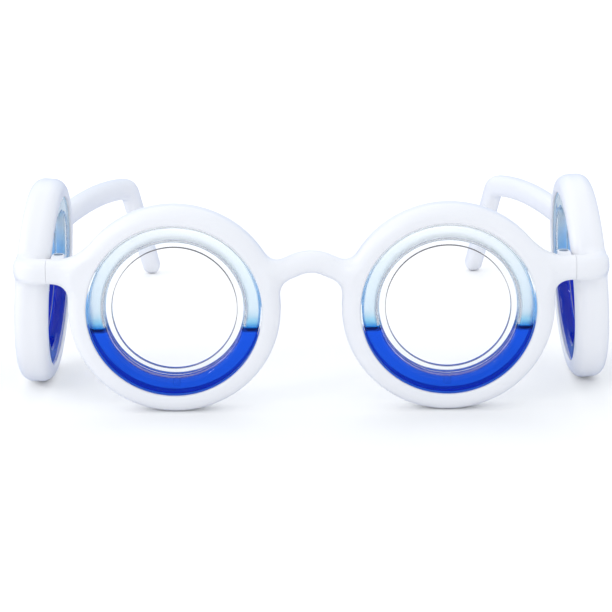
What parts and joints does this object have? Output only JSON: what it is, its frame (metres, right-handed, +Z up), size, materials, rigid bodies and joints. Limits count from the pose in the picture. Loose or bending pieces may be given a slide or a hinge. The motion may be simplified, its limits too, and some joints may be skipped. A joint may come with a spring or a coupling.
{
  "type": "motion sickness glasses",
  "caption": "Folding white glasses frame with open rings before and beside the eyes, each holding a clear tube half filled with blue liquid as a level horizon.",
  "frame": {"origin": "centre of the footprint, on the surface the glasses stand on", "axes": "+X to the wearer's left, along the front rings; +Y back to the ear tips; +Z up"},
  "size_m": [0.1428, 0.1299, 0.05],
  "materials": {
    "white_plastic": "satin moulded",
    "clear_plastic": "clear polished",
    "blue_liquid": "liquid",
    "plug_plastic": "translucent",
    "screw_steel": "bright zinc"
  },
  "bodies": {
    "front": {"front_frame": "white_plastic", "hinge_screws": "screw_steel", "right_eye_tube_front": "clear_plastic", "right_eye_tube_back": "clear_plastic", "right_eye_liquid": "blue_liquid", "right_eye_plug": "plug_plastic", "left_eye_tube_front": "clear_plastic", "left_eye_tube_back": "clear_plastic", "left_eye_liquid": "blue_liquid", "left_eye_plug": "plug_plastic"},
    "right_temple": {"right_temple": "white_plastic", "right_side_tube_inner": "clear_plastic", "right_side_tube_outer": "clear_plastic", "right_side_liquid": "blue_liquid", "right_side_plug": "plug_plastic"},
    "left_temple": {"left_temple": "white_plastic", "left_side_tube_inner": "clear_plastic", "left_side_tube_outer": "clear_plastic", "left_side_liquid": "blue_liquid", "left_side_plug": "plug_plastic"}
  },
  "joints": [
    {"name": "right_temple_fold", "type": "hinge", "parent": "front", "child": "right_temple", "pos_m": [-0.05979, -0.05475, 0.0341], "axis": [0, 0, -1], "range_deg": [0, 66]},
    {"name": "left_temple_fold", "type": "hinge", "parent": "front", "child": "left_temple", "pos_m": [0.05979, -0.05475, 0.0341], "axis": [0, 0, 1], "range_deg": [0, 83]}
  ]
}
